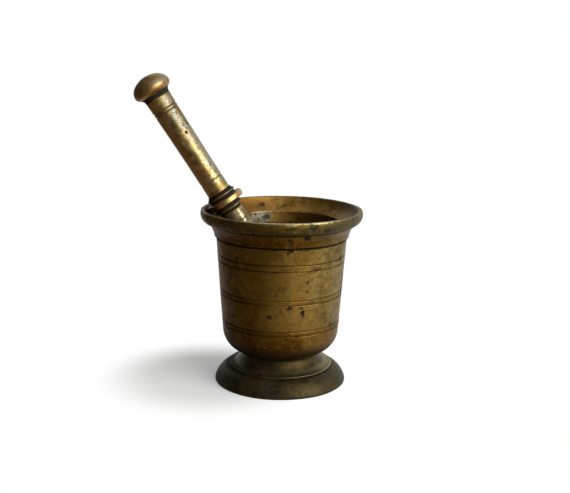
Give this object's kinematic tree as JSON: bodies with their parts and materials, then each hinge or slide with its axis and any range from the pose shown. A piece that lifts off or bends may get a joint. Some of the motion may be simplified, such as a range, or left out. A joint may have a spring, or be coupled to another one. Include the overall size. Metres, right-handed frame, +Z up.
{
  "type": "mortar and pestle",
  "caption": "Footed brass mortar with a flared, dished lip and scribed lines round its wall, and a loose turned pestle that leans in it, for crushing spices and remedies.",
  "frame": {"origin": "centre of the foot's standing ring, in the plane it rests on", "axes": "+Z up along the mortar's axis; the pestle leans towards -X, in the XZ plane"},
  "size_m": [0.1315, 0.0942, 0.1793],
  "materials": {
    "bowl_brass": "old cast brass, satin and worn, brown patina with dark pits",
    "foot_brass": "dull grey-brown patina, little handled",
    "pestle_brass": "hand-polished brass, worn grey in patches, dark dirt in the turned grooves"
  },
  "bodies": {
    "mortar": {"bowl": "bowl_brass", "foot": "foot_brass"},
    "pestle": {"pestle": "pestle_brass"}
  },
  "joints": [
    {"name": "pestle_lift", "type": "slide", "parent": "mortar", "child": "pestle", "axis": [0, 0, 1], "range_m": [0, 0.1]}
  ]
}
